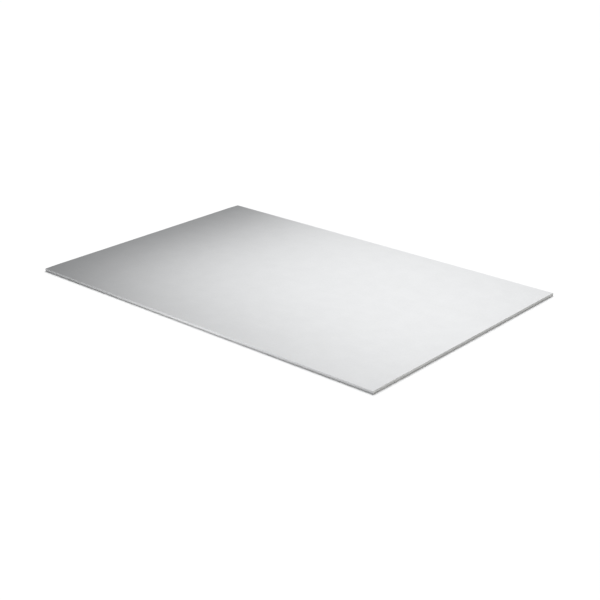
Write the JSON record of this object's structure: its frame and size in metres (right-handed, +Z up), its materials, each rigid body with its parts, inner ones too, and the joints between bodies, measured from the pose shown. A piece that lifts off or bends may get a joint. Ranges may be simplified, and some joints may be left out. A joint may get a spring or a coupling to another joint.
{
  "type": "drywall sheet",
  "caption": "Flat rectangular sheet of gypsum drywall, paper-faced, with tapered long edges and square-cut ends, for lining walls and ceilings.",
  "frame": {"origin": "centre of the back face, which lies on the floor", "axes": "+X along the length, +Y across the width, +Z up out of the finished face"},
  "size_m": [1.829, 1.219, 0.0125],
  "materials": {
    "board_paper": "matte"
  },
  "bodies": {
    "root": {"drywall_sheet": "board_paper"}
  },
  "joints": []
}
